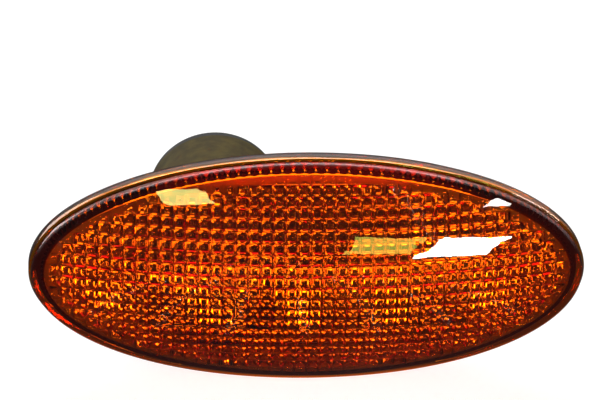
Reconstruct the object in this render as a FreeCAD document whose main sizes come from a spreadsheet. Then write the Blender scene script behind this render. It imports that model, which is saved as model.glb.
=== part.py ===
import FreeCAD, Part
import math
import os
import Sketcher
from FreeCAD import Placement, Rotation, Vector

# Oval side indicator lamp for a vehicle body, in millimetres.
# +X runs along the lamp, the lens faces -Y and +Z is up. The plane Y = 0 is the outer face of the
# vehicle panel: the gasket's rear face lies on it, and the tub goes through the panel's cut-out.

doc = FreeCAD.newDocument("side_indicator_lamp")
dims = doc.addObject("Spreadsheet::Sheet", "dims")

SIZES = {
    # lens moulding
    "lens_length": 104.9,
    "lens_height": 45.0,
    "side_depth": 4.79,
    "dome_radius_long": 165.0,
    "dome_radius_cross": 31.0,
    "corner_bevel": 1.2,
    "side_wall": 2.7,
    "dome_wall": 2.2,
    "rim_depth": 3.2,
    "rim_step": 0.45,
    "prism_pitch": 2.31,
    "prism_depth": 0.75,
    "flute_count": 150,
    "flute_depth": 0.4,
    # back plate, welded into a rebate in the lens rim
    "plate_thickness": 2.0,
    "rebate_width": 0.8,
    "weld_gap": 0.15,
    # foam gasket
    "gasket_thickness": 1.5,
    "gasket_inset": 2.6,
    "gasket_gap": 0.6,
    # tub that passes through the panel
    "land_length": 16.4,
    "land_height": 8.5,
    "tub_depth": 8.0,
    "tub_wall": 2.0,
    "tub_round": 1.0,
    # bulb chamber and bayonet ring
    "bulb_offset": 15.9,
    "chamber_radius": 13.3,
    "chamber_wall": 2.0,
    "chamber_end": 30.6,
    "chamber_bevel": 0.6,
    "ring_thickness": 2.0,
    "stem_clearance": 0.4,
    "lug_clearance": 0.25,
    "notch_clearance": 0.5,
    # fixed hook, ribs and clip boss on the tub
    "panel_grip": 2.2,
    "hook_reach": 3.5,
    "hook_thickness": 2.5,
    "hook_width": 10.0,
    "hook_lead": 0.8,
    "hook_slope": 1.6,
    "rib_thickness": 1.6,
    "rib_pitch": 6.5,
    "rib_length": 12.0,
    "rib_height": 10.0,
    "rib_margin": 1.5,
    "rib_toe": 1.0,
    "boss_inset": 6.0,
    "boss_length": 3.6,
    "boss_width": 12.0,
    "boss_height": 6.5,
    # spring clip
    "clip_thickness": 0.5,
    "clip_width": 9.0,
    "clip_play": 0.1,
    "clip_rise": 2.0,
    "clip_bulge": 4.0,
    # bulb holder
    "stem_radius": 8.6,
    "stem_front": 14.0,
    "lug_reach": 1.9,
    "lug_width": 5.0,
    "lug_thickness": 2.2,
    "disc_radius": 12.9,
    "disc_thickness": 1.5,
    "disc_gap": 0.4,
    "seat_width": 10.2,
    "seat_gap": 6.8,
    "seat_clearance": 0.8,
    "shroud_length": 12.5,
    "shroud_width": 14.0,
    "shroud_height": 10.4,
    "shroud_wall": 1.4,
    "wing_thickness": 1.6,
    "wing_reach": 5.0,
    "wing_height": 6.0,
    "latch_width": 4.0,
    "latch_height": 0.9,
    "latch_start": 4.0,
    "latch_length": 4.0,
    # seal
    "seal_inner": 9.7,
    "seal_width": 2.6,
    "seal_thickness": 1.3,
    "seal_squeeze": 0.1,
    "groove_play": 0.1,
    # brass contacts
    "blade_spacing": 5.8,
    "blade_thickness": 0.8,
    "blade_width": 2.8,
    "blade_reach": 9.0,
    "contact_play": 0.05,
    # wedge base bulb
    "bulb_length": 27.0,
    "bulb_radius": 5.0,
    "glass_wall": 0.6,
    "glass_floor": 2.0,
    "glass_shoulder": 2.4,
    "pinch_gap": 0.5,
    "pinch_width": 9.4,
    "pinch_thickness": 2.6,
    "pinch_length": 8.5,
    "wire_radius": 0.2,
    "wire_spread": 2.6,
    "wire_offset": 0.7,
    "filament_height": 20.5,
    "filament_radius": 0.35,
}

for row, (alias, value) in enumerate(SIZES.items(), start=1):
    dims.set(f"A{row}", alias)
    dims.set(f"B{row}", str(value))
    dims.setAlias(f"B{row}", alias)
doc.recompute()


def size(alias):
    """One driving dimension, as the sheet holds it."""
    return float(dims.get(alias))


# Places that several pieces share, as expressions on the sheet.
LENS_REAR = "(-dims.gasket_thickness)"
PLATE_FRONT = "(-dims.gasket_thickness - dims.plate_thickness)"
PLATE_LENGTH = "(dims.lens_length / 2 - dims.rim_step - dims.side_wall + dims.flute_depth + dims.rebate_width)"
PLATE_HEIGHT = "(dims.lens_height / 2 - dims.rim_step - dims.side_wall + dims.flute_depth + dims.rebate_width)"
TUB_FLOOR = "(dims.tub_depth - dims.tub_wall)"
TUB_LENGTH = "(dims.lens_length - 2 * dims.land_length)"
TUB_HEIGHT = "(dims.lens_height - 2 * dims.land_height)"
TUB_END = f"({TUB_LENGTH} / 2)"
BULB_X = "(-dims.bulb_offset)"
DISC_FRONT = "(dims.chamber_end + dims.disc_gap)"
DISC_REAR = "(dims.chamber_end + dims.disc_gap + dims.disc_thickness)"
BORE_RADIUS = "(dims.stem_radius + dims.stem_clearance)"
RING_FRONT = "(dims.chamber_end - dims.ring_thickness)"
PINCH_END = "(dims.stem_front + dims.pinch_length)"
SEAT_FLOOR = "(dims.stem_front + dims.pinch_length + dims.seat_clearance)"

ALONG_Y = Rotation(Vector(1, 0, 0), -90)


def place(obj, x="0", y="0", z="0", rotation=None):
    """Bind an object's place, and turn it."""
    obj.Placement = Placement(Vector(0, 0, 0), rotation or Rotation())
    for axis, expression in (("x", x), ("y", y), ("z", z)):
        obj.setExpression(f"Placement.Base.{axis}", expression)
    return obj


def block(name, length, width, height, x="0", y="0", z="0"):
    """A block, centred on x and z, that starts at y."""
    box = doc.addObject("Part::Box", name)
    box.setExpression("Length", length)
    box.setExpression("Width", width)
    box.setExpression("Height", height)
    return place(box, f"{x} - ({length}) / 2", y, f"{z} - ({height}) / 2")


def rod(name, radius, length, x="0", y="0", z="0"):
    """A cylinder along +Y that starts at y."""
    cylinder = doc.addObject("Part::Cylinder", name)
    cylinder.setExpression("Radius", radius)
    cylinder.setExpression("Height", length)
    return place(cylinder, x, y, z, ALONG_Y)


def oval(name, half_length, half_height, depth, y):
    """An elliptical block along +Y that starts at y."""
    ellipse = doc.addObject("Part::Ellipse", f"{name}_outline")
    ellipse.setExpression("MajorRadius", half_length)
    ellipse.setExpression("MinorRadius", half_height)
    place(ellipse, "0", y, "0", Rotation(Vector(1, 0, 0), 90))
    extrusion = doc.addObject("Part::Extrusion", name)
    extrusion.Base = ellipse
    extrusion.DirMode = "Custom"
    extrusion.Dir = Vector(0, 1, 0)
    extrusion.Solid = True
    extrusion.setExpression("LengthFwd", depth)
    return extrusion


def fuse(name, shapes):
    """Join several shapes in one."""
    joined = doc.addObject("Part::MultiFuse", name)
    joined.Shapes = shapes
    joined.Refine = True
    return joined


def cut(name, base, tools):
    """Take several shapes out of one."""
    tool = tools[0] if len(tools) == 1 else fuse(f"{name}_tools", tools)
    result = doc.addObject("Part::Cut", name)
    result.Base = base
    result.Tool = tool
    result.Refine = True
    return result


def stadium(name, length, height, depth, y):
    """An oblong block with round ends, along +Y."""
    middle = block(f"{name}_middle", f"({length}) - ({height})", depth, height, "0", y)
    ends = [
        rod(f"{name}_end_{side}", f"({height}) / 2", depth, f"{sign} * (({length}) - ({height})) / 2", y)
        for side, sign in (("left", "-1"), ("right", "1"))
    ]
    return fuse(name, [middle] + ends)


def origin_plane(body, role):
    return next(f for f in body.Origin.OriginFeatures if f.Role == role)


def profile(body, name, points):
    """A closed outline on the body's XY plane, each corner bound to the sheet."""
    sketch = body.newObject("Sketcher::SketchObject", name)
    sketch.AttachmentSupport = [(origin_plane(body, "XY_Plane"), "")]
    sketch.MapMode = "FlatFace"
    values = [Vector(evaluate(x), evaluate(y), 0) for x, y in points]
    count = len(points)
    for i in range(count):
        sketch.addGeometry(Part.LineSegment(values[i], values[(i + 1) % count]), False)
    for i in range(count):
        sketch.addConstraint(Sketcher.Constraint("Coincident", i, 2, (i + 1) % count, 1))
    for i, (x, y) in enumerate(points):
        for kind, expression, value in (("DistanceX", x, values[i].x), ("DistanceY", y, values[i].y)):
            if expression == "0" and kind == "DistanceX":
                sketch.addConstraint(Sketcher.Constraint("PointOnObject", i, 1, -2))
                continue
            index = sketch.addConstraint(Sketcher.Constraint(kind, -1, 1, i, 1, value))
            sketch.setExpression(f"Constraints[{index}]", expression)
    return sketch


def evaluate(expression):
    """The value of an expression on the sheet, for a sketch's first shape."""
    value = dims.evalExpression(expression)
    return float(getattr(value, "Value", value))


def turned(name, points):
    """A piece turned about the bulb's axis from a half section (radius, y)."""
    body = doc.addObject("PartDesign::Body", name)
    sketch = profile(body, f"{name}_section", points)
    revolution = body.newObject("PartDesign::Revolution", f"{name}_turn")
    revolution.Profile = sketch
    revolution.ReferenceAxis = (sketch, ["V_Axis"])
    revolution.Angle = 360
    return place(body, BULB_X)


def padded(name, points, thickness, height="0", rotation=None):
    """An outline in the XY plane about the bulb's axis, padded evenly to both sides."""
    body = doc.addObject("PartDesign::Body", name)
    pad = body.newObject("PartDesign::Pad", f"{name}_pad")
    pad.Profile = profile(body, f"{name}_outline", points)
    pad.SideType = "Symmetric"
    pad.setExpression("Length", thickness)
    return place(body, BULB_X, "0", height, rotation)


def rounded_at(name, base, alias, y):
    """Round the edges of a shape that lie in one plane across +Y."""
    doc.recompute()
    place_y = evaluate(y)
    radius = size(alias)
    rounding = doc.addObject("Part::Fillet", name)
    rounding.Base = base
    rounding.Edges = [
        (number, radius, radius)
        for number, edge in enumerate(base.Shape.Edges, start=1)
        if edge.BoundBox.YMin > place_y - 1e-4 and edge.BoundBox.YMax < place_y + 1e-4
    ]
    return rounding


def rounded_path(points, radii):
    """Straight runs in the XY plane, joined by tangent arcs of the given radii."""
    edges = []
    start = points[0]
    for before, corner, after, radius in zip(points, points[1:], points[2:], radii):
        arrive = (corner - before).normalize()
        leave = (after - corner).normalize()
        turn = arrive.getAngle(leave)
        reach = radius * math.tan(turn / 2)
        first = corner - arrive * reach
        last = corner + leave * reach
        inward = (leave - arrive).normalize()
        centre = corner + inward * (radius / math.cos(turn / 2))
        edges.append(Part.makeLine(start, first))
        edges.append(Part.Arc(first, centre - inward * radius, last).toShape())
        start = last
    edges.append(Part.makeLine(start, points[-1]))
    return Part.Wire(edges)


def bent_strip(points, radii, thickness, width):
    """A flat strip of metal, bent about axes along Z, with its middle on the path."""
    path = rounded_path(points, radii)
    along = (points[1] - points[0]).normalize()
    across = Vector(-along.y, along.x, 0) * (thickness / 2)
    rise = Vector(0, 0, width / 2)
    start = points[0]
    corners = [start + across + rise, start + across - rise, start - across - rise, start - across + rise]
    section = Part.makePolygon(corners + [corners[0]])
    return path.makePipeShell([section], True, False)


def drawn_wire(points, radii, radius):
    """A six-sided wire along a bent path."""
    path = rounded_path(points, radii)
    along = (points[1] - points[0]).normalize()
    across = Vector(-along.y, along.x, 0) * radius
    corners = []
    for i in range(6):
        corners.append(points[0] + Rotation(along, 60 * i).multVec(across))
    section = Part.makePolygon(corners + corners[:1])
    return path.makePipeShell([section], True, False)


def formed(name, shape, x=0.0, y=0.0):
    """A piece whose form is worked out from the sheet's sizes."""
    feature = doc.addObject("Part::Feature", name)
    feature.Shape = shape
    feature.Placement = Placement(Vector(x, y, 0), Rotation())
    return feature


def ellipse_wire(half_length, half_height, y):
    curve = Part.Ellipse(Vector(half_length, y, 0), Vector(0, y, half_height), Vector(0, y, 0))
    return Part.Wire(curve.toShape())


def ellipse_block(half_length, half_height, y, depth):
    return Part.Face(ellipse_wire(half_length, half_height, y)).extrude(Vector(0, depth, 0))


def optic_point(column, row, thickness):
    """A point of the optic grid, at a depth below the dome's outer face."""
    long_radius = size("dome_radius_long")
    cross_radius = size("dome_radius_cross")
    step = size("prism_pitch") / cross_radius
    x = column * size("prism_pitch")
    z = (cross_radius - thickness) * math.sin(row * step)
    ring = long_radius - cross_radius + (cross_radius - thickness) * math.cos(row * step)
    return Vector(x, long_radius - math.sqrt(ring ** 2 - x ** 2), z)


def dome_fall(radius, reach):
    """How far the dome falls back at a distance from its apex."""
    return radius - math.sqrt(radius ** 2 - reach ** 2)


def lens_depth():
    """From the apex to the rear rim: the deeper of the dome's two falls, and the wall behind it."""
    fall_long = dome_fall(size("dome_radius_long"), size("lens_length") / 2 - size("rim_step"))
    fall_cross = dome_fall(size("dome_radius_cross"), size("lens_height") / 2 - size("rim_step"))
    return max(fall_long, fall_cross) + size("side_depth")


def optic_cavity(half_length, half_height, back):
    """The space inside the lens: prisms over the dome, flutes round the wall."""
    pitch = size("prism_pitch")
    valley = size("dome_wall")
    tip = valley + size("prism_depth")
    flute = size("flute_depth")
    step = pitch / size("dome_radius_cross")
    columns = math.ceil((half_length + flute) / pitch) + 1
    reach = (half_height + flute) / (size("dome_radius_cross") - valley)
    rows = math.ceil(math.asin(min(reach, 1.0)) / step)
    faces = []
    for column in range(-columns, columns):
        for row in range(-rows, rows):
            corners = [
                optic_point(column, row, valley),
                optic_point(column + 1, row, valley),
                optic_point(column + 1, row + 1, valley),
                optic_point(column, row + 1, valley),
            ]
            peak = optic_point(column + 0.5, row + 0.5, tip)
            for first, second in zip(corners, corners[1:] + corners[:1]):
                faces.append(Part.Face(Part.makePolygon([first, second, peak, first])))
    rims = [
        [optic_point(column, -rows, valley) for column in range(-columns, columns + 1)],
        [optic_point(column, rows, valley) for column in range(-columns, columns + 1)],
        [optic_point(-columns, row, valley) for row in range(-rows, rows + 1)],
        [optic_point(columns, row, valley) for row in range(-rows, rows + 1)],
    ]
    beyond = max(point.y for rim in rims for point in rim) + back
    for rim in rims:
        behind = [Vector(point.x, beyond, point.z) for point in reversed(rim)]
        faces.append(Part.Face(Part.makePolygon(rim + behind + rim[:1])))
    square = [rims[0][0], rims[0][-1], rims[1][-1], rims[1][0], rims[0][0]]
    faces.append(Part.Face(Part.makePolygon([Vector(p.x, beyond, p.z) for p in square])))
    shell = Part.makeShell(faces)
    shell.sewShape()
    prism_block = Part.makeSolid(shell)
    if prism_block.Volume < 0:
        prism_block.reverse()
    outline = []
    for i in range(2 * int(size("flute_count"))):
        angle = math.pi * i / size("flute_count")
        x = half_length * math.cos(angle)
        z = half_height * math.sin(angle)
        normal = Vector(x / half_length ** 2, 0, z / half_height ** 2).normalize()
        outline.append(Vector(x, 0, z) + normal * (0 if i % 2 else flute))
    fluted = Part.Face(Part.makePolygon(outline + outline[:1])).extrude(Vector(0, back, 0))
    return prism_block.common(fluted).Solids[0]


def lens_shape():
    """The lens with its apex at the origin and its rear rim at the lens depth."""
    depth = lens_depth()
    rim_length = size("lens_length") / 2
    rim_height = size("lens_height") / 2
    wall_length = rim_length - size("rim_step")
    wall_height = rim_height - size("rim_step")
    inner_length = wall_length - size("side_wall")
    inner_height = wall_height - size("side_wall")
    rebate = size("flute_depth") + size("rebate_width")
    shelf = depth - size("plate_thickness")

    dome = Part.makeTorus(size("dome_radius_long") - size("dome_radius_cross"), size("dome_radius_cross"))
    dome.translate(Vector(0, size("dome_radius_long"), 0))
    body = ellipse_block(wall_length, wall_height, 0, depth).common(dome)
    edges = [e for e in body.Edges if e.BoundBox.YMax < depth - 1 and e.BoundBox.XLength > wall_length]
    body = body.makeChamfer(size("corner_bevel"), edges)
    rim = ellipse_block(rim_length, rim_height, depth - size("rim_depth"), size("rim_depth"))
    outside = body.fuse(rim).removeSplitter()

    cavity = optic_cavity(inner_length, inner_height, shelf)
    rear = [f for f in outside.Faces if f.BoundBox.YMin > depth - 1e-4]
    mouth = [f for f in cavity.Faces if f.BoundBox.YMin > shelf - 1e-4]
    rebate_edge = ellipse_wire(inner_length + rebate, inner_height + rebate, shelf)
    rebate_rear = ellipse_wire(inner_length + rebate, inner_height + rebate, depth)
    faces = [f for f in outside.Faces if f.BoundBox.YMin <= depth - 1e-4]
    faces += [f for f in cavity.Faces if f.BoundBox.YMin <= shelf - 1e-4]
    faces += Part.Face(rebate_edge).cut(mouth[0]).Faces
    faces += rebate_edge.extrude(Vector(0, depth - shelf, 0)).Faces
    faces += rear[0].cut(Part.Face(rebate_rear)).Faces
    shell = Part.makeShell(faces)
    shell.sewShape()
    solid = Part.makeSolid(shell)
    if solid.Volume < 0:
        solid.reverse()
    return solid


def make_lens():
    return formed("lens", lens_shape(), y=-size("gasket_thickness") - lens_depth())


def make_gasket():
    """Foam ring on the panel, round the tub."""
    inset = "dims.gasket_inset"
    ring = oval(
        "gasket_ring",
        f"dims.lens_length / 2 - {inset}",
        f"dims.lens_height / 2 - {inset}",
        "dims.gasket_thickness",
        LENS_REAR,
    )
    hole = stadium(
        "gasket_hole",
        f"{TUB_LENGTH} + 2 * dims.gasket_gap",
        f"{TUB_HEIGHT} + 2 * dims.gasket_gap",
        "dims.gasket_thickness",
        LENS_REAR,
    )
    return cut("panel_gasket", ring, [hole])


def rib(name, side, reach, height):
    """A stiffening web between the bulb chamber and the tub floor."""
    inner = f"{side} * (dims.chamber_radius - dims.chamber_wall)"
    outer = f"{side} * {reach}"
    foot = "dims.tub_depth - dims.tub_wall / 2"
    outline = [
        (inner, foot),
        (outer, foot),
        (outer, "dims.tub_depth + dims.rib_toe"),
        (inner, "dims.tub_depth + dims.rib_height"),
    ]
    return padded(name, outline, "dims.rib_thickness", height)


def make_hook():
    """Fixed hook at the tub's left end, with a lead-in and a sloping back."""
    root = f"dims.bulb_offset - {TUB_END} + 0.9 * dims.tub_wall"
    wall = f"dims.bulb_offset - {TUB_END}"
    tip = f"dims.bulb_offset - {TUB_END} - dims.hook_reach"
    rear = "dims.panel_grip + dims.hook_thickness"
    outline = [
        (root, "dims.panel_grip"),
        (f"{tip} + dims.hook_lead", "dims.panel_grip"),
        (tip, "dims.panel_grip + dims.hook_lead"),
        (tip, rear),
        (wall, f"{rear} + dims.hook_slope"),
        (root, f"{rear} + dims.hook_slope"),
    ]
    return padded("hook", outline, "dims.hook_width")


def make_housing():
    """Back plate, tub, bulb chamber, bayonet ring, hook, ribs and clip boss in one moulding."""
    plate = oval(
        "plate",
        f"{PLATE_LENGTH} - dims.weld_gap",
        f"{PLATE_HEIGHT} - dims.weld_gap",
        "dims.plate_thickness",
        PLATE_FRONT,
    )
    tub_block = stadium("tub_block", TUB_LENGTH, TUB_HEIGHT, f"dims.tub_depth - {PLATE_FRONT}", PLATE_FRONT)
    tub = rounded_at("tub", tub_block, "tub_round", "dims.tub_depth")
    chamber = turned("chamber", [
        ("0", TUB_FLOOR),
        ("dims.chamber_radius", TUB_FLOOR),
        ("dims.chamber_radius", "dims.chamber_end - dims.chamber_bevel"),
        ("dims.chamber_radius - dims.chamber_bevel", "dims.chamber_end"),
        ("0", "dims.chamber_end"),
    ])
    boss = block(
        "clip_boss",
        "dims.boss_length",
        "dims.boss_height + dims.tub_wall / 2",
        "dims.boss_width",
        f"{TUB_END} - dims.boss_inset",
        "dims.tub_depth - dims.tub_wall / 2",
    )
    ribs = []
    for i in (-1, 0, 1):
        height = f"{i} * dims.rib_pitch"
        ribs.append(rib(f"rib_right_{i}", "1", "(dims.chamber_radius + dims.rib_length)", height))
        ribs.append(rib(f"rib_left_{i}", "-1", f"({TUB_END} - dims.bulb_offset - dims.rib_margin)", height))
    solid = fuse("housing_solid", [plate, tub, chamber, make_hook(), boss] + ribs)

    hollow = stadium(
        "tub_hollow",
        f"{TUB_LENGTH} - 2 * dims.tub_wall",
        f"{TUB_HEIGHT} - 2 * dims.tub_wall",
        f"{TUB_FLOOR} - {PLATE_FRONT}",
        PLATE_FRONT,
    )
    bore = rod(
        "chamber_bore",
        "dims.chamber_radius - dims.chamber_wall",
        f"{RING_FRONT} - {TUB_FLOOR}",
        BULB_X,
        TUB_FLOOR,
    )
    mouth = rod("ring_bore", BORE_RADIUS, "dims.ring_thickness", BULB_X, RING_FRONT)
    notches = []
    for i in range(3):
        reach = "dims.stem_radius + dims.lug_reach + dims.notch_clearance"
        notch = doc.addObject("Part::Box", f"lug_notch_{i}")
        notch.setExpression("Length", reach)
        notch.setExpression("Width", "dims.ring_thickness")
        notch.setExpression("Height", "dims.lug_width + 2 * dims.notch_clearance")
        turned_notch(notch, 120 * i + 45)
        notches.append(notch)
    slit = block(
        "clip_slit",
        "dims.clip_thickness + dims.clip_play",
        "dims.boss_height",
        "dims.clip_width + 2 * dims.clip_play",
        f"{TUB_END} - dims.boss_inset",
        "dims.tub_depth",
    )
    return cut("rear_housing", solid, [hollow, bore, mouth, slit] + notches)


def turned_notch(notch, angle):
    """Set a notch radially in the bayonet ring, at an angle from the lug's locked place."""
    radians = math.radians(angle)
    rotation = Rotation(Vector(0, 1, 0), -angle)
    half = "(dims.lug_width / 2 + dims.notch_clearance)"
    place(
        notch,
        f"{BULB_X} + {math.sin(radians)} * {half}",
        RING_FRONT,
        f"-{math.cos(radians)} * {half}",
        rotation,
    )


def make_clip():
    """Spring leaf: one leg in the boss, the other bowed out past the tub's end."""
    thickness = size("clip_thickness")
    end = size("lens_length") / 2 - size("land_length")
    leg = end - size("boss_inset")
    floor = size("tub_depth")
    top = floor + size("boss_height") + size("clip_rise")
    points = [
        Vector(leg, floor + size("clip_play"), 0),
        Vector(leg, top, 0),
        Vector(end + 1.2, top, 0),
        Vector(end + size("clip_bulge"), size("panel_grip") + 3.6, 0),
        Vector(end + 1.0, size("panel_grip") + 0.4, 0),
    ]
    return formed("retaining_clip", bent_strip(points, [1.2, 1.5, 1.2], thickness, size("clip_width")))


def make_seal():
    front = "(dims.chamber_end + dims.seal_squeeze)"
    inner = "dims.seal_inner"
    outer = "(dims.seal_inner + dims.seal_width)"
    rear = f"({front} + dims.seal_thickness)"
    return turned("holder_seal", [(inner, front), (outer, front), (outer, rear), (inner, rear)])


def make_holder():
    """Turned stem and disc, with lugs, wedge seat, connector shroud and blade slots."""
    groove_floor = "(dims.chamber_end + dims.seal_squeeze + dims.seal_thickness)"
    groove_inner = "(dims.seal_inner - dims.groove_play)"
    groove_outer = "(dims.seal_inner + dims.seal_width + dims.groove_play)"
    core = turned("holder_core", [
        ("0", "dims.stem_front"),
        ("dims.stem_radius - 0.8", "dims.stem_front"),
        ("dims.stem_radius", "dims.stem_front + 0.8"),
        ("dims.stem_radius", DISC_FRONT),
        (groove_inner, DISC_FRONT),
        (groove_inner, groove_floor),
        (groove_outer, groove_floor),
        (groove_outer, DISC_FRONT),
        ("dims.disc_radius", DISC_FRONT),
        ("dims.disc_radius", DISC_REAR),
        ("0", DISC_REAR),
    ])
    lugs = []
    for i in range(3):
        lug = doc.addObject("Part::Box", f"lug_{i}")
        lug.setExpression("Length", "dims.stem_radius + dims.lug_reach")
        lug.setExpression("Width", "dims.lug_thickness")
        lug.setExpression("Height", "dims.lug_width")
        radians = math.radians(120 * i)
        place(
            lug,
            f"{BULB_X} + {math.sin(radians)} * dims.lug_width / 2",
            f"{RING_FRONT} - dims.lug_clearance - dims.lug_thickness",
            f"-{math.cos(radians)} * dims.lug_width / 2",
            Rotation(Vector(0, 1, 0), -120 * i),
        )
        lugs.append(lug)
    shroud = block(
        "shroud", "dims.shroud_width", "dims.shroud_length", "dims.shroud_height", BULB_X, DISC_REAR
    )
    wings = []
    wing_root = f"{DISC_REAR} - 0.2 * dims.disc_thickness"
    wing_top = f"{DISC_REAR} + dims.wing_height"
    for side, sign in (("right", "1"), ("left", "-1")):
        inner = f"{sign} * (dims.shroud_width / 2 - dims.shroud_wall / 2)"
        outer = f"{sign} * (dims.shroud_width / 2 + dims.wing_reach)"
        outline = [
            (inner, wing_root),
            (outer, wing_root),
            (outer, f"{DISC_REAR} + dims.wing_height / 2"),
            (f"{sign} * (dims.shroud_width / 2 + dims.wing_reach / 2)", wing_top),
            (inner, wing_top),
        ]
        wings.append(padded(f"grip_wing_{side}", outline, "dims.wing_thickness"))
    latch_foot = "(dims.shroud_height / 2 - dims.shroud_wall / 2)"
    latch_top = "(dims.shroud_height / 2 + dims.latch_height)"
    latch = padded("latch", [
        (latch_foot, f"{DISC_REAR} + dims.latch_start"),
        (latch_top, f"{DISC_REAR} + dims.latch_start"),
        (latch_top, f"{DISC_REAR} + dims.latch_start + dims.latch_length / 4"),
        (latch_foot, f"{DISC_REAR} + dims.latch_start + dims.latch_length"),
    ], "dims.latch_width", "0", Rotation(Vector(0, 1, 0), -90))
    solid = fuse("holder_solid", [core, shroud, latch] + wings + lugs)
    socket = block(
        "shroud_hollow",
        "dims.shroud_width - 2 * dims.shroud_wall",
        "dims.shroud_length",
        "dims.shroud_height - 2 * dims.shroud_wall",
        BULB_X,
        DISC_REAR,
    )
    seat = block("wedge_seat", "dims.seat_gap", f"{SEAT_FLOOR} - dims.stem_front", "dims.seat_width",
                 BULB_X, "dims.stem_front")
    slots = [
        block(
            f"blade_slot_{side}",
            "dims.blade_thickness + 2 * dims.contact_play",
            f"{DISC_REAR} - {SEAT_FLOOR}",
            "dims.blade_width + 2 * dims.contact_play",
            f"{BULB_X} + {sign} * dims.blade_spacing / 2",
            SEAT_FLOOR,
        )
        for side, sign in (("live", "1"), ("earth", "-1"))
    ]
    return cut("bulb_holder", solid, [socket, seat] + slots)


def make_contact(name, side):
    """Bent strip: leaf on the bulb's folded wire, blade in the connector."""
    thickness = size("blade_thickness")
    blade = side * size("blade_spacing") / 2
    leaf = side * (size("pinch_thickness") / 2 + 2 * size("wire_radius") + size("contact_play") + thickness / 2)
    floor = size("stem_front") + size("pinch_length") + size("seat_clearance")
    rear = size("chamber_end") + size("disc_gap") + size("disc_thickness") + size("blade_reach")
    points = [
        Vector(blade, rear, 0),
        Vector(blade, floor - 0.6, 0),
        Vector(leaf, floor - 3.0, 0),
        Vector(leaf, size("stem_front") + 0.8, 0),
    ]
    shape = bent_strip(points, [0.9, 0.9], thickness, size("blade_width"))
    return formed(name, shape, x=-size("bulb_offset"))


def wire_points(side):
    """Centre line of one lead-in wire, from the filament to the fold on the base."""
    end = size("stem_front") + size("pinch_length")
    filament = end - size("filament_height")
    fold = side * (size("pinch_thickness") / 2 + size("wire_radius"))
    middle = side * size("wire_offset")
    spread = side * size("wire_spread")
    turn = end + 2 * size("wire_radius")
    points = [
        Vector(spread, filament - 0.4, 0),
        Vector(spread, end - size("pinch_length") - 8.0, 0),
        Vector(middle, end - size("pinch_length") - 4.5, 0),
        Vector(middle, turn, 0),
        Vector(fold, turn, 0),
        Vector(fold, end - 4.5, 0),
    ]
    return points, [1.2, 1.2, 0.38, 0.38]


def make_wire(name, side):
    points, radii = wire_points(side)
    return formed(name, drawn_wire(points, radii, size("wire_radius")), x=-size("bulb_offset"))


def make_filament():
    rod_length = "2 * (dims.wire_spread - dims.wire_radius)"
    filament = doc.addObject("Part::Cylinder", "bulb_filament")
    filament.setExpression("Radius", "dims.filament_radius")
    filament.setExpression("Height", rod_length)
    return place(
        filament,
        f"{BULB_X} - ({rod_length}) / 2",
        f"{PINCH_END} - dims.filament_height",
        "0",
        Rotation(Vector(0, 1, 0), 90),
    )


def capsule(radius, tip, foot, shoulder):
    """A round-nosed capsule along +Y with a bevelled foot."""
    bow = radius * math.sqrt(0.5)
    nose = Part.Arc(Vector(0, tip, 0), Vector(bow, tip + radius - bow, 0), Vector(radius, tip + radius, 0))
    side = Part.makePolygon([
        Vector(radius, tip + radius, 0),
        Vector(radius, foot - shoulder, 0),
        Vector(radius - 0.3 * shoulder, foot - 0.3 * shoulder, 0),
        Vector(radius - shoulder, foot, 0),
        Vector(0, foot, 0),
        Vector(0, tip, 0),
    ])
    outline = Part.Wire([nose.toShape()] + side.Edges)
    return Part.Face(outline).revolve(Vector(0, 0, 0), Vector(0, 1, 0), 360)


def make_glass():
    """Blown capsule with a pinched base, closed round the two wires."""
    wall = size("glass_wall")
    end = size("stem_front") + size("pinch_length")
    tip = end - size("bulb_length")
    neck = size("stem_front") - size("pinch_gap")
    floor = neck - size("glass_floor")
    shoulder = size("glass_shoulder")
    outside = capsule(size("bulb_radius"), tip, neck, shoulder)
    inside = capsule(size("bulb_radius") - wall, tip + wall, floor, shoulder - wall)
    pinch_start = (neck + floor) / 2
    pinch = Part.makeBox(size("pinch_thickness"), end - pinch_start, size("pinch_width"))
    pinch.translate(Vector(-size("pinch_thickness") / 2, pinch_start, -size("pinch_width") / 2))
    glass = outside.fuse(pinch).cut(inside)
    for side in (1, -1):
        start = Vector(side * size("wire_offset"), floor - 1.0, 0)
        glass = glass.cut(Part.makeCylinder(size("wire_radius"), end - start.y, start, Vector(0, 1, 0)))
    return formed("bulb_glass", glass.Solids[0], x=-size("bulb_offset"))


pieces = [
    make_lens(),
    make_gasket(),
    make_housing(),
    make_clip(),
    make_seal(),
    make_holder(),
    make_contact("contact_live", 1),
    make_contact("contact_earth", -1),
    make_wire("filament_wire_live", 1),
    make_wire("filament_wire_earth", -1),
    make_filament(),
    make_glass(),
]
doc.recompute()

for obj in doc.Objects:
    if {"Invalid", "Error"} & set(obj.State):
        raise RuntimeError(f"{obj.Name} did not build: {obj.State}")

os.makedirs("parts", exist_ok=True)
for piece in pieces:
    shape = piece.Shape
    if shape.isNull() or not shape.isValid() or not shape.Solids:
        raise RuntimeError(f"{piece.Label} has no valid solid")
    shape.exportStep(f"parts/{piece.Label}.step")
    box = shape.BoundBox
    print(
        f"{piece.Label}: {len(shape.Solids)} solid, {shape.Volume:.1f} mm3,"
        f" x {box.XMin:.1f}..{box.XMax:.1f}, y {box.YMin:.1f}..{box.YMax:.1f}, z {box.ZMin:.1f}..{box.ZMax:.1f}"
    )
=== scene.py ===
# %% [markdown]
# # An oval side indicator lamp
# The solids of this lamp come packed as a fixed frame: a lens, the housing behind it with its bulb
# chamber, a gasket, a spring clip, and a bulb holder that turns. This lesson dresses that frame. The
# lens is where nearly all of the look is, so it is rebuilt here with a finer mesh than the frame has.

# %% Load the frame
import math

import bmesh
import bpy
from mathutils import Matrix, Vector


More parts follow.
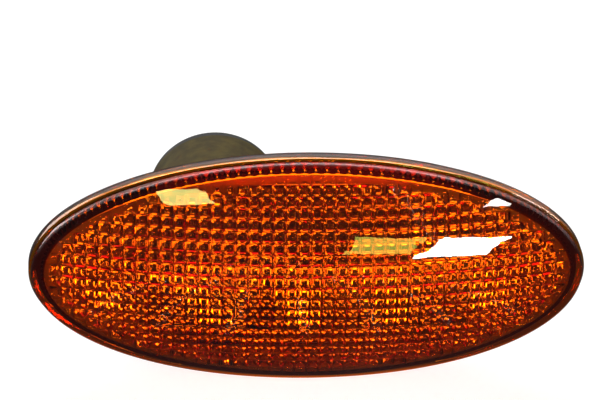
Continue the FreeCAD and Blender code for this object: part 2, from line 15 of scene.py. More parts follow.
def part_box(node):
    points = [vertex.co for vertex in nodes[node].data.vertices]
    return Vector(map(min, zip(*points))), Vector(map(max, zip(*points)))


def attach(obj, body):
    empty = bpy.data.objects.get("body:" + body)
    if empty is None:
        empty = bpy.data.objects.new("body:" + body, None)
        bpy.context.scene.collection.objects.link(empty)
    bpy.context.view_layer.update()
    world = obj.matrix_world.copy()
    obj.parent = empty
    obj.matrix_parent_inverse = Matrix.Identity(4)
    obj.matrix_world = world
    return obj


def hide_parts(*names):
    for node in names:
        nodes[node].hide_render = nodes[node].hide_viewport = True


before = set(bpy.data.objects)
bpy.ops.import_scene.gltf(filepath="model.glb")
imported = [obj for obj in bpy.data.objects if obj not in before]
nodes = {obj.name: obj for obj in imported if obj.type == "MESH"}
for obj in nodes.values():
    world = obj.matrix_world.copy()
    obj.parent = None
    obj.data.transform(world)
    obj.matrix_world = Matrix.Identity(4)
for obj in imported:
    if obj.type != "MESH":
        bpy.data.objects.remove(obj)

scene = bpy.context.scene
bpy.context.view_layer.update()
MM = 0.001
WHITE = (1, 1, 1, 1)
print("pieces in the frame:", ", ".join(sorted(nodes)))

# %% [markdown]
# ## The camera
# The picture is taken from a little to the left and from about 23 degrees above, with a long lens, so
# the oval keeps its shape. The camera is placed first, because the lamps are later put where the lens
# mirrors them, and that depends on where the camera stands.

# %% Place the camera
LENS_LOW, LENS_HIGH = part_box("lens")
APEX = Vector((0, LENS_LOW.y, 0))
VIEW_AZIMUTH = math.radians(-4.383)
VIEW_ELEVATION = math.radians(22.796)
VIEW_ROLL = math.radians(-1.47)
VIEW_DISTANCE = 0.7
AIM_RIGHT = -2.59 * MM
AIM_UP = 17.14 * MM
FOCAL_LENGTH = 226.3
SENSOR_WIDTH = 36.0
IMAGE_WIDTH, IMAGE_HEIGHT = 600, 400

camera_back = Vector((
    math.sin(VIEW_AZIMUTH) * math.cos(VIEW_ELEVATION),
    -math.cos(VIEW_AZIMUTH) * math.cos(VIEW_ELEVATION),
    math.sin(VIEW_ELEVATION),
))
level_right = Vector((math.cos(VIEW_AZIMUTH), math.sin(VIEW_AZIMUTH), 0))
level_up = level_right.cross(-camera_back)
camera_right = level_right * math.cos(VIEW_ROLL) - level_up * math.sin(VIEW_ROLL)
camera_up = level_up * math.cos(VIEW_ROLL) + level_right * math.sin(VIEW_ROLL)


def axes_rotation(right, up, back):
    """The rotation that turns an object's own X, Y and Z into these directions."""
    return Matrix((right, up, back)).transposed().to_euler()


camera_data = bpy.data.cameras.new("studio_camera")
camera_data.lens = FOCAL_LENGTH
camera_data.sensor_width = SENSOR_WIDTH
camera = bpy.data.objects.new("studio_camera", camera_data)
scene.collection.objects.link(camera)
camera.location = APEX + level_right * AIM_RIGHT + level_up * AIM_UP + camera_back * VIEW_DISTANCE
camera.rotation_euler = axes_rotation(camera_right, camera_up, camera_back)
scene.camera = camera
scene.view_settings.view_transform = "Standard"
print("camera at", [round(c, 3) for c in camera.location])

# %% [markdown]
# ## Small helpers for node trees
# A geometry tree and a material are both node trees. One helper adds a node and fills its sockets: a
# socket that is given to it is linked, and a number or a colour is set on the node's own socket. The
# nodes that this lesson needs again and again have a short helper of their own.

# %% Helpers for node trees
def add_node(tree, kind, inputs=None, **settings):
    """Adds a node, sets its options, then links or fills its inputs, by name or by number."""
    made = tree.nodes.new(kind)
    for name, value in settings.items():
        setattr(made, name, value)
    for key, value in (inputs or {}).items():
        socket = made.inputs[key]
        if isinstance(value, bpy.types.NodeSocket):
            tree.links.new(value, socket)
        else:
            socket.default_value = value
    return made


def formula(tree, operation, *terms):
    """A Math node on up to three terms, and its result."""
    return add_node(tree, "ShaderNodeMath", dict(enumerate(terms)), operation=operation).outputs[0]


def place_parts(tree, place):
    """The X, Y and Z of a place or a direction."""
    return add_node(tree, "ShaderNodeSeparateXYZ", {0: place}).outputs


def ranged(tree, value, start, end, low=0.0, high=1.0, **settings):
    """A Map Range node: low up to the start, high from the end on, and a ramp between the two."""
    ends = {"Value": value, "From Min": start, "From Max": end, "To Min": low, "To Max": high}
    return add_node(tree, "ShaderNodeMapRange", ends, **settings).outputs[0]


def noise(tree, scale, detail):
    """A noise pattern that stays with the object."""
    spot = tree.nodes.new("ShaderNodeTexCoord")
    pattern = {"Vector": spot.outputs["Object"], "Scale": scale, "Detail": detail}
    return add_node(tree, "ShaderNodeTexNoise", pattern).outputs[0]


def mixed_shader(tree, factor, first, second):
    """The first shader where the factor is 0, and the second where it is 1."""
    return add_node(tree, "ShaderNodeMixShader", {0: factor, 1: first, 2: second}).outputs[0]


def mixed_colour(tree, factor, first, second):
    """The first colour where the factor is 0, and the second where it is 1."""
    colours = {"Factor": factor, 6: first, 7: second}
    return add_node(tree, "ShaderNodeMix", colours, data_type="RGBA").outputs[2]


# %% Helpers that grow a mesh from a tree
def geometry_tree(name, sizes):
    """An empty geometry tree with a named number input for each size, and the sockets of its inputs."""
    tree = bpy.data.node_groups.new(name, "GeometryNodeTree")
    tree.interface.new_socket("Geometry", in_out="INPUT", socket_type="NodeSocketGeometry")
    tree.interface.new_socket("Geometry", in_out="OUTPUT", socket_type="NodeSocketGeometry")
    for label, value in sizes.items():
        kind = "NodeSocketInt" if isinstance(value, int) else "NodeSocketFloat"
        tree.interface.new_socket(label, in_out="INPUT", socket_type=kind)
    return tree, tree.nodes.new("NodeGroupInput").outputs


def end_tree(tree, geometry, material):
    """Closes a tree with Realize Instances and Set Material."""
    real = add_node(tree, "GeometryNodeRealizeInstances", {"Geometry": geometry})
    dressed = add_node(tree, "GeometryNodeSetMaterial", {"Geometry": real.outputs[0], "Material": material})
    add_node(tree, "NodeGroupOutput", {"Geometry": dressed.outputs[0]})


def grow(name, tree, sizes):
    """Runs a tree on an empty mesh with these sizes and keeps the result as a plain mesh object."""
    seed = bpy.data.objects.new(name + "_seed", bpy.data.meshes.new(name + "_seed"))
    scene.collection.objects.link(seed)
    modifier = seed.modifiers.new("grow", "NODES")
    modifier.node_group = tree
    for item in tree.interface.items_tree:
        if item.in_out == "INPUT" and item.name in sizes:
            modifier[item.identifier] = sizes[item.name]
    bpy.context.view_layer.update()
    evaluated = seed.evaluated_get(bpy.context.evaluated_depsgraph_get())
    mesh = bpy.data.meshes.new_from_object(evaluated)
    bpy.data.objects.remove(seed)
    return plain_object(name, mesh)


def plain_object(name, mesh):
    """A new object at the origin that shows this mesh."""
    mesh.name = name
    made = bpy.data.objects.new(name, mesh)
    scene.collection.objects.link(made)
    return made


def report(piece):
    """Prints how many triangles a piece has."""
    piece.data.calc_loop_triangles()
    print(f"{piece.name}: {len(piece.data.loop_triangles)} triangles")


# %% [markdown]
# ## Clear amber plastic
# The lens is one moulding of dyed acrylic. The dye is in the depth of the plastic, not on its face, so
# the colour comes from Volume Absorption: the thin rim stays pale yellow, and light that runs a long
# way inside turns deep red. The faces are a plain glass-like surface. Lamps can't shine through
# refracting glass in a path tracer without a lot of noise, so for shadow rays the surface turns into a
# tinted transparent one. A wide, shallow ripple keeps the mirrored lamps from looking ruled.

# %% The amber material
AMBER_INDEX = 1.49
AMBER_DENSITY = 1350.0
AMBER_TINT = (0.986, 0.75, 0.0, 1.0)
AMBER_SHADOW = (1.0, 0.72, 0.32, 1.0)
AMBER_ROUGHNESS = 0.015
RIPPLE_SCALE = 160.0
RIPPLE_DETAIL = 2.0
RIPPLE_HEIGHT = 0.06 * MM


def new_material(name, preview):
    """A material with an empty node tree and its output node."""
    material = bpy.data.materials.new(name)
    material.use_nodes = True
    material.diffuse_color = preview
    material.node_tree.nodes.clear()
    output = material.node_tree.nodes.new("ShaderNodeOutputMaterial")
    return material, material.node_tree, output


def clear_surface(tree, output, index, roughness, shadow_colour):
    """A refracting surface that lets the lamps through: transparent for shadow rays, clear for the rest."""
    glass = add_node(
        tree,
        "ShaderNodeBsdfPrincipled",
        {"Base Color": WHITE, "Transmission Weight": 1.0, "IOR": index, "Roughness": roughness},
    )
    through = add_node(tree, "ShaderNodeBsdfTransparent", {"Color": shadow_colour})
    path = tree.nodes.new("ShaderNodeLightPath")
    both = mixed_shader(tree, path.outputs["Is Shadow Ray"], glass.outputs[0], through.outputs[0])
    tree.links.new(both, output.inputs["Surface"])
    return glass


def make_amber():
    """Clear rippled faces, with the dye in the depth of the plastic."""
    material, tree, output = new_material("amber_acrylic", (0.85, 0.25, 0.02, 1))
    glass = clear_surface(tree, output, AMBER_INDEX, AMBER_ROUGHNESS, AMBER_SHADOW)
    flow = noise(tree, RIPPLE_SCALE, RIPPLE_DETAIL)
    ripple = add_node(
        tree, "ShaderNodeBump", {"Height": flow, "Strength": 1.0, "Distance": RIPPLE_HEIGHT}
    )
    tree.links.new(ripple.outputs[0], glass.inputs["Normal"])
    dye = add_node(tree, "ShaderNodeVolumeAbsorption", {"Color": AMBER_TINT, "Density": AMBER_DENSITY})
    tree.links.new(dye.outputs[0], output.inputs["Volume"])
    return material


amber = make_amber()
print("material:", amber.name)

# %% [markdown]
# ## The prism sheet
# The inner face of the dome is a grid of small pillows that spread the bulb's light. It repeats and
# follows a surface, so Geometry Nodes make it. A flat grid has one face for each pillow. Every face is
# raised and shrunk ring by ring, steeply at the groove and hardly at the middle. Then the whole sheet is
# bent onto the dome: a point's height above the sheet becomes plastic thickness. Next to the side wall
# the height fades out, which leaves a smooth strip.

# %% Sizes of the lens
HALF_LENGTH = LENS_HIGH.x
HALF_HEIGHT = LENS_HIGH.z
REAR = LENS_HIGH.y
DOME_LONG = 165.0 * MM
DOME_CROSS = 31.0 * MM
CORNER_RADIUS = 1.6 * MM
SIDE_WALL = 2.7 * MM
DOME_WALL = 2.2 * MM
RIM_DEPTH = 3.2 * MM
RIM_STEP = 0.45 * MM
RIM_ROUND = 0.15 * MM
REBATE = 1.2 * MM
PLATE_THICKNESS = 2.0 * MM
PRISM_PITCH = 2.31 * MM
PRISM_DEPTH = 0.95 * MM
PRISM_COLUMNS = 46
PRISM_ROWS = 22

WALL_LENGTH = HALF_LENGTH - RIM_STEP
WALL_HEIGHT = HALF_HEIGHT - RIM_STEP
INNER_LENGTH = WALL_LENGTH - SIDE_WALL
INNER_HEIGHT = WALL_HEIGHT - SIDE_WALL
SHELF = REAR - PLATE_THICKNESS
BORDER = 0.9 * MM
BORDER_FADE = 0.4 * MM
print("prism sheet before it is cut:", PRISM_COLUMNS, "by", PRISM_ROWS, "pillows")

# %% The shape of a pillow
GROOVE_SHARE = 0.95
PILLOW_RINGS = 7
PILLOW_POWER = 1.9
RING_SPACING = 1.4
TOP_SHARE = 0.5


def prism_profile():
    """Rings from a cell's edge to its middle: (share of the cell that is left, share of the height)."""
    rings = [(GROOVE_SHARE, 0.0)]
    for ring in range(1, PILLOW_RINGS + 1):
        share = 1 - (ring / (PILLOW_RINGS + TOP_SHARE)) ** RING_SPACING
        rings.append((GROOVE_SHARE * share, 1 - share ** PILLOW_POWER))
    return rings


print("rings of a pillow:", [(round(share, 2), round(height, 2)) for share, height in prism_profile()])


# %% Bend the sheet onto the dome
def inside_border(tree, along, across, size):
    """1 inside the ellipse that ends the grid, falling to 0 in the smooth strip round it."""
    half_length, half_height = size["Grid half length"], size["Grid half height"]
    span = formula(tree, "DIVIDE", along, half_length)
    rise = formula(tree, "DIVIDE", across, half_height)
    span_square = formula(tree, "MULTIPLY", span, span)
    rise_square = formula(tree, "MULTIPLY", rise, rise)
    out = formula(tree, "SQRT", formula(tree, "ADD", span_square, rise_square))
    fade = formula(tree, "DIVIDE", size["Border fade"], half_height)
    return ranged(tree, out, 1.0, formula(tree, "SUBTRACT", 1.0, fade))


def dome_position(tree, size):
    """Bends the flat sheet: x stays, y runs round the dome's cross section, z goes into the depth."""
    long_radius, cross_radius = size["Long radius"], size["Cross radius"]
    wall, apex = size["Wall"], size["Apex"]
    flat = place_parts(tree, tree.nodes.new("GeometryNodeInputPosition").outputs[0])
    angle = formula(tree, "DIVIDE", flat["Y"], cross_radius)
    sheet_radius = formula(tree, "SUBTRACT", cross_radius, wall)
    sheet_across = formula(tree, "MULTIPLY", sheet_radius, formula(tree, "SINE", angle))
    grid = inside_border(tree, flat["X"], sheet_across, size)
    pillow = formula(tree, "MULTIPLY", flat["Z"], grid)
    radius = formula(tree, "SUBTRACT", sheet_radius, pillow)
    across = formula(tree, "MULTIPLY", radius, formula(tree, "SINE", angle))
    inset = formula(tree, "SUBTRACT", long_radius, cross_radius)
    ring = formula(tree, "ADD", inset, formula(tree, "MULTIPLY", radius, formula(tree, "COSINE", angle)))
    ring_square = formula(tree, "MULTIPLY", ring, ring)
    square = formula(tree, "SUBTRACT", ring_square, formula(tree, "MULTIPLY", flat["X"], flat["X"]))
    depth = formula(tree, "SUBTRACT", long_radius, formula(tree, "SQRT", square))
    depth = formula(tree, "ADD", apex, depth)
    return add_node(tree, "ShaderNodeCombineXYZ", {0: flat["X"], 1: depth, 2: across}).outputs[0]


print("the dome bends to radii of", round(DOME_LONG / MM), "and", round(DOME_CROSS / MM), "mm")


# %% Grow the prism block
DOUBLES_WITHIN = 1e-7
BLOCK_OVERRUN = 30 * MM


def prism_tree(sizes):
    """A block whose front is the sheet of pillows and whose back is flat."""
    tree, size = geometry_tree("prism_sheet", sizes)
    length = formula(tree, "MULTIPLY", size["Columns"], size["Pitch"])
    height = formula(tree, "MULTIPLY", size["Rows"], size["Pitch"])
    columns = formula(tree, "ADD", size["Columns"], 1.0)
    rows = formula(tree, "ADD", size["Rows"], 1.0)
    sheet = add_node(
        tree,
        "GeometryNodeMeshGrid",
        {"Size X": length, "Size Y": height, "Vertices X": columns, "Vertices Y": rows},
    )
    mesh = sheet.outputs["Mesh"]
    share, level, top = 1.0, 0.0, True
    for ring_share, ring_level in prism_profile():
        rise = formula(tree, "MULTIPLY", size["Prism depth"], ring_level - level)
        lift = add_node(
            tree,
            "GeometryNodeExtrudeMesh",
            {"Mesh": mesh, "Selection": top, "Offset Scale": rise, "Individual": True},
        )
        top = lift.outputs["Top"]
        shrink = add_node(
            tree,
            "GeometryNodeScaleElements",
            {"Geometry": lift.outputs["Mesh"], "Selection": top, "Scale": ring_share / share},
        )
        mesh = shrink.outputs[0]
        share, level = ring_share, ring_level
    bent = add_node(
        tree, "GeometryNodeSetPosition", {"Geometry": mesh, "Position": dome_position(tree, size)}
    )
    neighbours = tree.nodes.new("GeometryNodeInputMeshEdgeNeighbors")
    open_edge = add_node(
        tree, "FunctionNodeCompare", {2: neighbours.outputs[0], 3: 1}, data_type="INT", operation="EQUAL"
    )
    skirt = add_node(
        tree,
        "GeometryNodeExtrudeMesh",
        {"Mesh": bent.outputs[0], "Selection": open_edge.outputs[0], "Offset Scale": 0.0},
        mode="EDGES",
    )
    spot = place_parts(tree, tree.nodes.new("GeometryNodeInputPosition").outputs[0])
    behind = add_node(tree, "ShaderNodeCombineXYZ", {0: spot["X"], 1: size["Back"], 2: spot["Z"]})
    block = add_node(
        tree,
        "GeometryNodeSetPosition",
        {"Geometry": skirt.outputs["Mesh"], "Selection": skirt.outputs["Top"], "Position": behind.outputs[0]},
    )
    end_tree(tree, block.outputs[0], amber)
    return tree


def close_mesh(piece):
    """Merges doubles, fills open borders and turns every face outwards."""
    shape = bmesh.new()
    shape.from_mesh(piece.data)
    bmesh.ops.remove_doubles(shape, verts=shape.verts, dist=DOUBLES_WITHIN)
    border = [edge for edge in shape.edges if edge.is_boundary]
    if border:
        bmesh.ops.holes_fill(shape, edges=border, sides=0)
    bmesh.ops.recalc_face_normals(shape, faces=shape.faces)
    shape.to_mesh(piece.data)
    shape.free()


prism_sizes = {
    "Columns": PRISM_COLUMNS,
    "Rows": PRISM_ROWS,
    "Pitch": PRISM_PITCH,
    "Prism depth": PRISM_DEPTH,
    "Long radius": DOME_LONG,
    "Cross radius": DOME_CROSS,
    "Wall": DOME_WALL,
    "Apex": APEX.y,
    "Back": REAR + BLOCK_OVERRUN,
    "Grid half length": INNER_LENGTH - BORDER,
    "Grid half height": INNER_HEIGHT - BORDER,
    "Border fade": BORDER_FADE,
}
prism_block = grow("prism_block", prism_tree(prism_sizes), prism_sizes)
close_mesh(prism_block)
report(prism_block)

# %% [markdown]
# ## The fluted wall
# The inside of the side wall has about 150 rounded flutes. One closed curve whose distance from an
# ellipse goes up and down like a wave gives them all. The tree starts with a round cylinder of many
# rings and moves each of its points to that curve. Behind the dome the wave fades in, and in front of
# that the plug stays smooth.

# %% Grow the fluted plug
FLUTE_COUNT = 150
FLUTE_DEPTH = 0.4 * MM
FLUTE_STEPS = 8
FLUTE_RINGS = 24
FLUTE_START = 11.2 * MM
FLUTE_FADE = 0.5 * MM
PLUG_LEAD = 5 * MM


def flute_tree(sizes):
    """A plug with an oval, fluted side; each wave of the cosine gives two flutes."""
    tree, size = geometry_tree("fluted_plug", sizes)
    count = formula(tree, "MULTIPLY", size["Waves"], size["Steps"])
    plug = add_node(
        tree,
        "GeometryNodeMeshCylinder",
        {"Vertices": count, "Side Segments": size["Rings"], "Radius": 1.0, "Depth": 2.0},
        fill_type="NGON",
    )
    spot = place_parts(tree, tree.nodes.new("GeometryNodeInputPosition").outputs[0])
    turned = formula(tree, "ARCTAN2", spot["Y"], spot["X"])
    wave = formula(tree, "COSINE", formula(tree, "MULTIPLY", turned, size["Waves"]))
    depth = ranged(tree, spot["Z"], -1.0, 1.0, size["Front"], size["Back"])
    full = formula(tree, "ADD", size["Flute front"], size["Flute fade"])
    fade = ranged(tree, depth, size["Flute front"], full)
    swell = formula(tree, "MULTIPLY", formula(tree, "ABSOLUTE", wave), size["Flute depth"])
    swell = formula(tree, "MULTIPLY", swell, fade)
    length = formula(tree, "ADD", size["Half length"], swell)
    height = formula(tree, "ADD", size["Half height"], swell)
    along = formula(tree, "MULTIPLY", spot["X"], length)
    up = formula(tree, "MULTIPLY", spot["Y"], height)
    target = add_node(tree, "ShaderNodeCombineXYZ", {0: along, 1: depth, 2: up})
    bent = add_node(
        tree, "GeometryNodeSetPosition", {"Geometry": plug.outputs["Mesh"], "Position": target.outputs[0]}
    )
    end_tree(tree, bent.outputs[0], amber)
    return tree


flute_sizes = {
    "Waves": FLUTE_COUNT // 2,
    "Steps": FLUTE_STEPS * 2,
    "Rings": FLUTE_RINGS,
    "Half length": INNER_LENGTH,
    "Half height": INNER_HEIGHT,
    "Flute depth": FLUTE_DEPTH,
    "Front": APEX.y - PLUG_LEAD,
    "Back": SHELF,
    "Flute front": APEX.y + FLUTE_START,
    "Flute fade": FLUTE_FADE,
}
fluted_plug = grow("fluted_plug", flute_tree(flute_sizes), flute_sizes)
close_mesh(fluted_plug)
report(fluted_plug)

# %% [markdown]
# ## The outside of the lens
# The outside is a smooth dome with a rounded corner, a straight side wall and a thin flange at the rear.
# It follows from a few radii, so it is built ring by ring in mesh code: each ring is an ellipse drawn
# in by some distance, and its depth is read off the dome. The corner is an arc that touches both.

# %% Build the outside
AROUND = 480
DOME_RINGS = 60
CORNER_RINGS = 6
CORNER_ROUNDS = 8
SLOPE_STEP = 0.02 * MM
BEVEL_SHARE = 0.3


def dome_depth(x, z):
    """Y of the dome's outer face."""
    ring = DOME_LONG - DOME_CROSS + math.sqrt(DOME_CROSS ** 2 - z ** 2)
    return APEX.y + DOME_LONG - math.sqrt(ring ** 2 - x ** 2)


def outline_point(step, length, height):
    """A point on an ellipse and the outward direction there."""
    angle = 2 * math.pi * step / AROUND
    point = Vector((length * math.cos(angle), 0, height * math.sin(angle)))
    outward = Vector((point.x / length ** 2, 0, point.z / height ** 2)).normalized()
    return point, outward


def corner_arc(step):
    """Rings of the rounded corner at one place of the outline, from the dome to the side wall."""
    point, outward = outline_point(step, WALL_LENGTH, WALL_HEIGHT)
    inset = CORNER_RADIUS * 0.5
    for _ in range(CORNER_ROUNDS):
        here = point - outward * inset
        ahead = point - outward * (inset + SLOPE_STEP)
        slope = (dome_depth(here.x, here.z) - dome_depth(ahead.x, ahead.z)) / SLOPE_STEP
        tilt = math.atan(slope)
        inset = CORNER_RADIUS * (1 - math.sin(tilt))
    centre_y = dome_depth(here.x, here.z) + CORNER_RADIUS * math.cos(tilt)
    arc = []
    for ring in range(CORNER_RINGS + 1):
        angle = tilt + (math.pi / 2 - tilt) * ring / CORNER_RINGS
        drawn_in = CORNER_RADIUS * (1 - math.sin(angle))
        place = point - outward * drawn_in
        arc.append(Vector((place.x, centre_y - CORNER_RADIUS * math.cos(angle), place.z)))
    return arc


def outer_rings():
    """Every ring of the outside, from the smallest one round the apex to the rear face."""
    arcs = [corner_arc(step) for step in range(AROUND)]
    rings = []
    for ring in range(1, DOME_RINGS + 1):
        share = ring / DOME_RINGS
        edge = [arc[0] * share for arc in arcs]
        rings.append([Vector((p.x, dome_depth(p.x, p.z), p.z)) for p in edge])
    rings += [[arc[i] for arc in arcs] for i in range(1, CORNER_RINGS + 1)]
    flange = REAR - RIM_DEPTH
    bevel = RIM_ROUND * BEVEL_SHARE
    profile = [
        (0, flange),
        (RIM_STEP - RIM_ROUND, flange),
        (RIM_STEP - bevel, flange + bevel),
        (RIM_STEP, flange + RIM_ROUND),
        (RIM_STEP, REAR - RIM_ROUND),
        (RIM_STEP - bevel, REAR - bevel),
        (RIM_STEP - RIM_ROUND, REAR),
    ]
    for proud, y in profile:
        ring = []
        for step in range(AROUND):
            point, outward = outline_point(step, WALL_LENGTH, WALL_HEIGHT)
            ring.append(Vector((point.x + outward.x * proud, y, point.z + outward.z * proud)))
        rings.append(ring)
    return rings


def skin(name, rings, tip):
    """A closed mesh: a fan at the tip, a band between each two rings, and a flat cap on the last."""
    shape = bmesh.new()
    first = shape.verts.new(tip)
    loops = [[shape.verts.new(p) for p in ring] for ring in rings]
    count = len(loops[0])
    for i in range(count):
        shape.faces.new((first, loops[0][i], loops[0][(i + 1) % count]))
    for inner, outer in zip(loops, loops[1:]):
        for i in range(count):
            j = (i + 1) % count
            shape.faces.new((inner[i], outer[i], outer[j], inner[j]))
    shape.faces.new(loops[-1])
    mesh = bpy.data.meshes.new(name)
    shape.to_mesh(mesh)
    shape.free()
    made = plain_object(name, mesh)
    close_mesh(made)
    return made


lens = skin("amber_lens", outer_rings(), APEX)
report(lens)

# %% [markdown]
# ## One closed lens
# The hollow is the prism block where it lies inside the fluted plug, and a shallow rebate behind it
# takes the back plate. Both are cut from the outside with Boolean modifiers, applied one after another,
# so the lens is a single closed solid and light bends at each of its faces. Flat faces such as the
# flange stay flat, because only edges below a set angle are shaded smooth.

# %% Cut the hollow
REBATE_LENGTH = INNER_LENGTH + REBATE
REBATE_HEIGHT = INNER_HEIGHT + REBATE
REBATE_OVERRUN = 1 * MM
LENS_SMOOTH_DEGREES = 25


def combine(piece, tool, operation):
    """Applies one Boolean modifier and removes the tool."""
    modifier = piece.modifiers.new(operation.lower(), "BOOLEAN")
    modifier.operation = operation
    modifier.object = tool
    modifier.solver = "EXACT"
    bpy.context.view_layer.update()
    evaluated = piece.evaluated_get(bpy.context.evaluated_depsgraph_get())
    mesh = bpy.data.meshes.new_from_object(evaluated)
    piece.modifiers.clear()
    piece.data = mesh
    bpy.data.objects.remove(tool)


def oval_plug(name, length, height, front, back):
    """A plain oval plug between two depths."""
    points = [outline_point(step, length, height)[0] for step in range(AROUND)]
    rings = [[Vector((p.x, y, p.z)) for p in points] for y in (front, back)]
    return skin(name, rings, Vector((0, front, 0)))


combine(prism_block, fluted_plug, "INTERSECT")
report(prism_block)
combine(lens, prism_block, "DIFFERENCE")
rebate_plug = oval_plug("rebate_plug", REBATE_LENGTH, REBATE_HEIGHT, SHELF, REAR + REBATE_OVERRUN)
combine(lens, rebate_plug, "DIFFERENCE")


def smooth_by_angle(piece, degrees):
    """Rounded stretches shade smooth, and edges sharper than the angle stay sharp."""
    piece.data.shade_smooth()
    piece.data.set_sharp_from_angle(angle=math.radians(degrees))


def set_material(piece, material):
    """Gives the whole piece one material."""
    piece.data.materials.clear()
    piece.data.materials.append(material)


smooth_by_angle(lens, LENS_SMOOTH_DEGREES)
set_material(lens, amber)
lens.data.name = "amber_lens"
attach(lens, "lamp")
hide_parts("lens")
report(lens)

# %% [markdown]
# ## Mottled plastic, rubber and metal
# The housing is an olive-grey moulded plastic whose face is slightly blotchy. The bulb holder is black
# and finer. They, the rubber, the foam and the metals use one small group that puts out a coarse and a
# fine noise. The coarse one mixes two tones of a plastic, and the fine one varies the roughness and, on
# what is moulded, the bump.

# %% A group for moulded grain
BLOTCH_DETAIL = 6.0
GRAIN_DETAIL = 3.0


def grain_group():
    """Blotches and grain, each with a scale of its own."""
    group = bpy.data.node_groups.new("moulded_grain", "ShaderNodeTree")
    for side, labels in (("INPUT", ("Coarse scale", "Fine scale")), ("OUTPUT", ("Blotches", "Grain"))):
        for label in labels:
            group.interface.new_socket(label, in_out=side, socket_type="NodeSocketFloat")
    given = group.nodes.new("NodeGroupInput").outputs
    coarse = noise(group, given["Coarse scale"], BLOTCH_DETAIL)
    fine = noise(group, given["Fine scale"], GRAIN_DETAIL)
    add_node(group, "NodeGroupOutput", {"Blotches": coarse, "Grain": fine})
    return group


moulded_grain = grain_group()


def place_grain(tree, blotch_scale, grain_scale):
    """Puts the group in a material and gives its outputs."""
    scales = {"Coarse scale": blotch_scale, "Fine scale": grain_scale}
    return add_node(tree, "ShaderNodeGroup", scales, node_tree=moulded_grain).outputs


print("node group:", moulded_grain.name)

# %% Moulded plastic
DARK_BELOW = 0.35
LIGHT_ABOVE = 0.68
PLASTIC_SPREAD = 0.08
PLASTIC_SHINE = 0.2
GRAIN_HEIGHT = 0.04 * MM


def tone_ramp(tree, mask, dark, light):
    """Two tones of a colour, mixed by the blotches."""
    ramp = tree.nodes.new("ShaderNodeValToRGB")
    stops = ramp.color_ramp.elements
    stops[0].position, stops[0].color = DARK_BELOW, dark
    stops[1].position, stops[1].color = LIGHT_ABOVE, light
    tree.links.new(mask, ramp.inputs[0])
    return ramp.outputs[0]


def moulded_plastic(name, dark, light, roughness, blotch_scale, grain_scale, bump, tint=None):
    """Two tones mixed by blotches, and a fine grain. A tint function may change the tones in places."""
    material, tree, output = new_material(name, light)
    grain = place_grain(tree, blotch_scale, grain_scale)
    colour = tone_ramp(tree, grain["Blotches"], dark, light)
    if tint:
        colour = tint(tree, grain["Blotches"], colour)
    smoothest, roughest = roughness - PLASTIC_SPREAD, roughness + PLASTIC_SPREAD
    relief = add_node(
        tree, "ShaderNodeBump", {"Height": grain["Grain"], "Strength": bump, "Distance": GRAIN_HEIGHT}
    )
    surface = add_node(
        tree,
        "ShaderNodeBsdfPrincipled",
        {
            "Base Color": colour, "Roughness": ranged(tree, grain["Grain"], 0.0, 1.0, smoothest, roughest),
            "Normal": relief.outputs[0], "Specular IOR Level": PLASTIC_SHINE,
        },
    )
    tree.links.new(surface.outputs[0], output.inputs["Surface"])
    return material


holder_plastic = moulded_plastic(
    "black_plastic", (0.012, 0.012, 0.012, 1), (0.03, 0.03, 0.028, 1),
    roughness=0.5, blotch_scale=260, grain_scale=4000, bump=0.3,
)
seal_rubber = moulded_plastic(
    "seal_rubber", (0.02, 0.018, 0.016, 1), (0.04, 0.036, 0.032, 1),
    roughness=0.65, blotch_scale=300, grain_scale=2500, bump=0.5,
)
gasket_foam = moulded_plastic(
    "gasket_foam", (0.015, 0.015, 0.015, 1), (0.05, 0.05, 0.048, 1),
    roughness=0.9, blotch_scale=900, grain_scale=3500, bump=1.0,
)
for made in (holder_plastic, seal_rubber, gasket_foam):
    print("material:", made.name)

# %% [markdown]
# ## The housing's tones, with painted shade and a painted glow
# The housing is seen in three places. The bulb chamber stands behind the lens and is olive. The tub is
# looked into through the prisms, and its inside is painted nearly black: painted shade. The plate closes
# the lens; its front face is dark brown, and a red-brown painted glow at its top, which stands in for
# amber light through the side wall, gives the amber red strip along the top of the grid. One material
# holds all three, because the housing is one moulding: its own depth and height tell them apart.

# %% The housing's plastic
OLIVE_DARK, OLIVE_LIGHT = (0.055, 0.038, 0.006, 1), (0.10, 0.073, 0.010, 1)
# Painted shade: the tub's inside is made nearly black in these two tones.
TUB_PAINTED_SHADE_DARK, TUB_PAINTED_SHADE_LIGHT = (0.003, 0.0022, 0.0008, 1), (0.013, 0.010, 0.004, 1)
# The plate's front is dark brown, and its top tone is a painted glow of amber light through the side wall.
PLATE_TONE, PLATE_TOP_PAINTED_GLOW = (0.02, 0.012, 0.003, 1), (0.12, 0.034, 0.008, 1)
# Depths at which the tub's painted shade turns olive behind it, and at which the plate in front turns into
# it.
PAINTED_SHADE_UP_TO, OLIVE_FROM = 6.1 * MM, 7.5 * MM
PLATE_UP_TO, PAINTED_SHADE_FROM = -3.3 * MM, -2.7 * MM
# Heights over which the plate's front fades into its painted glow.
PLATE_GLOW_STARTS_AT, PLATE_GLOW_FULL_AT = 15.5 * MM, 17.5 * MM


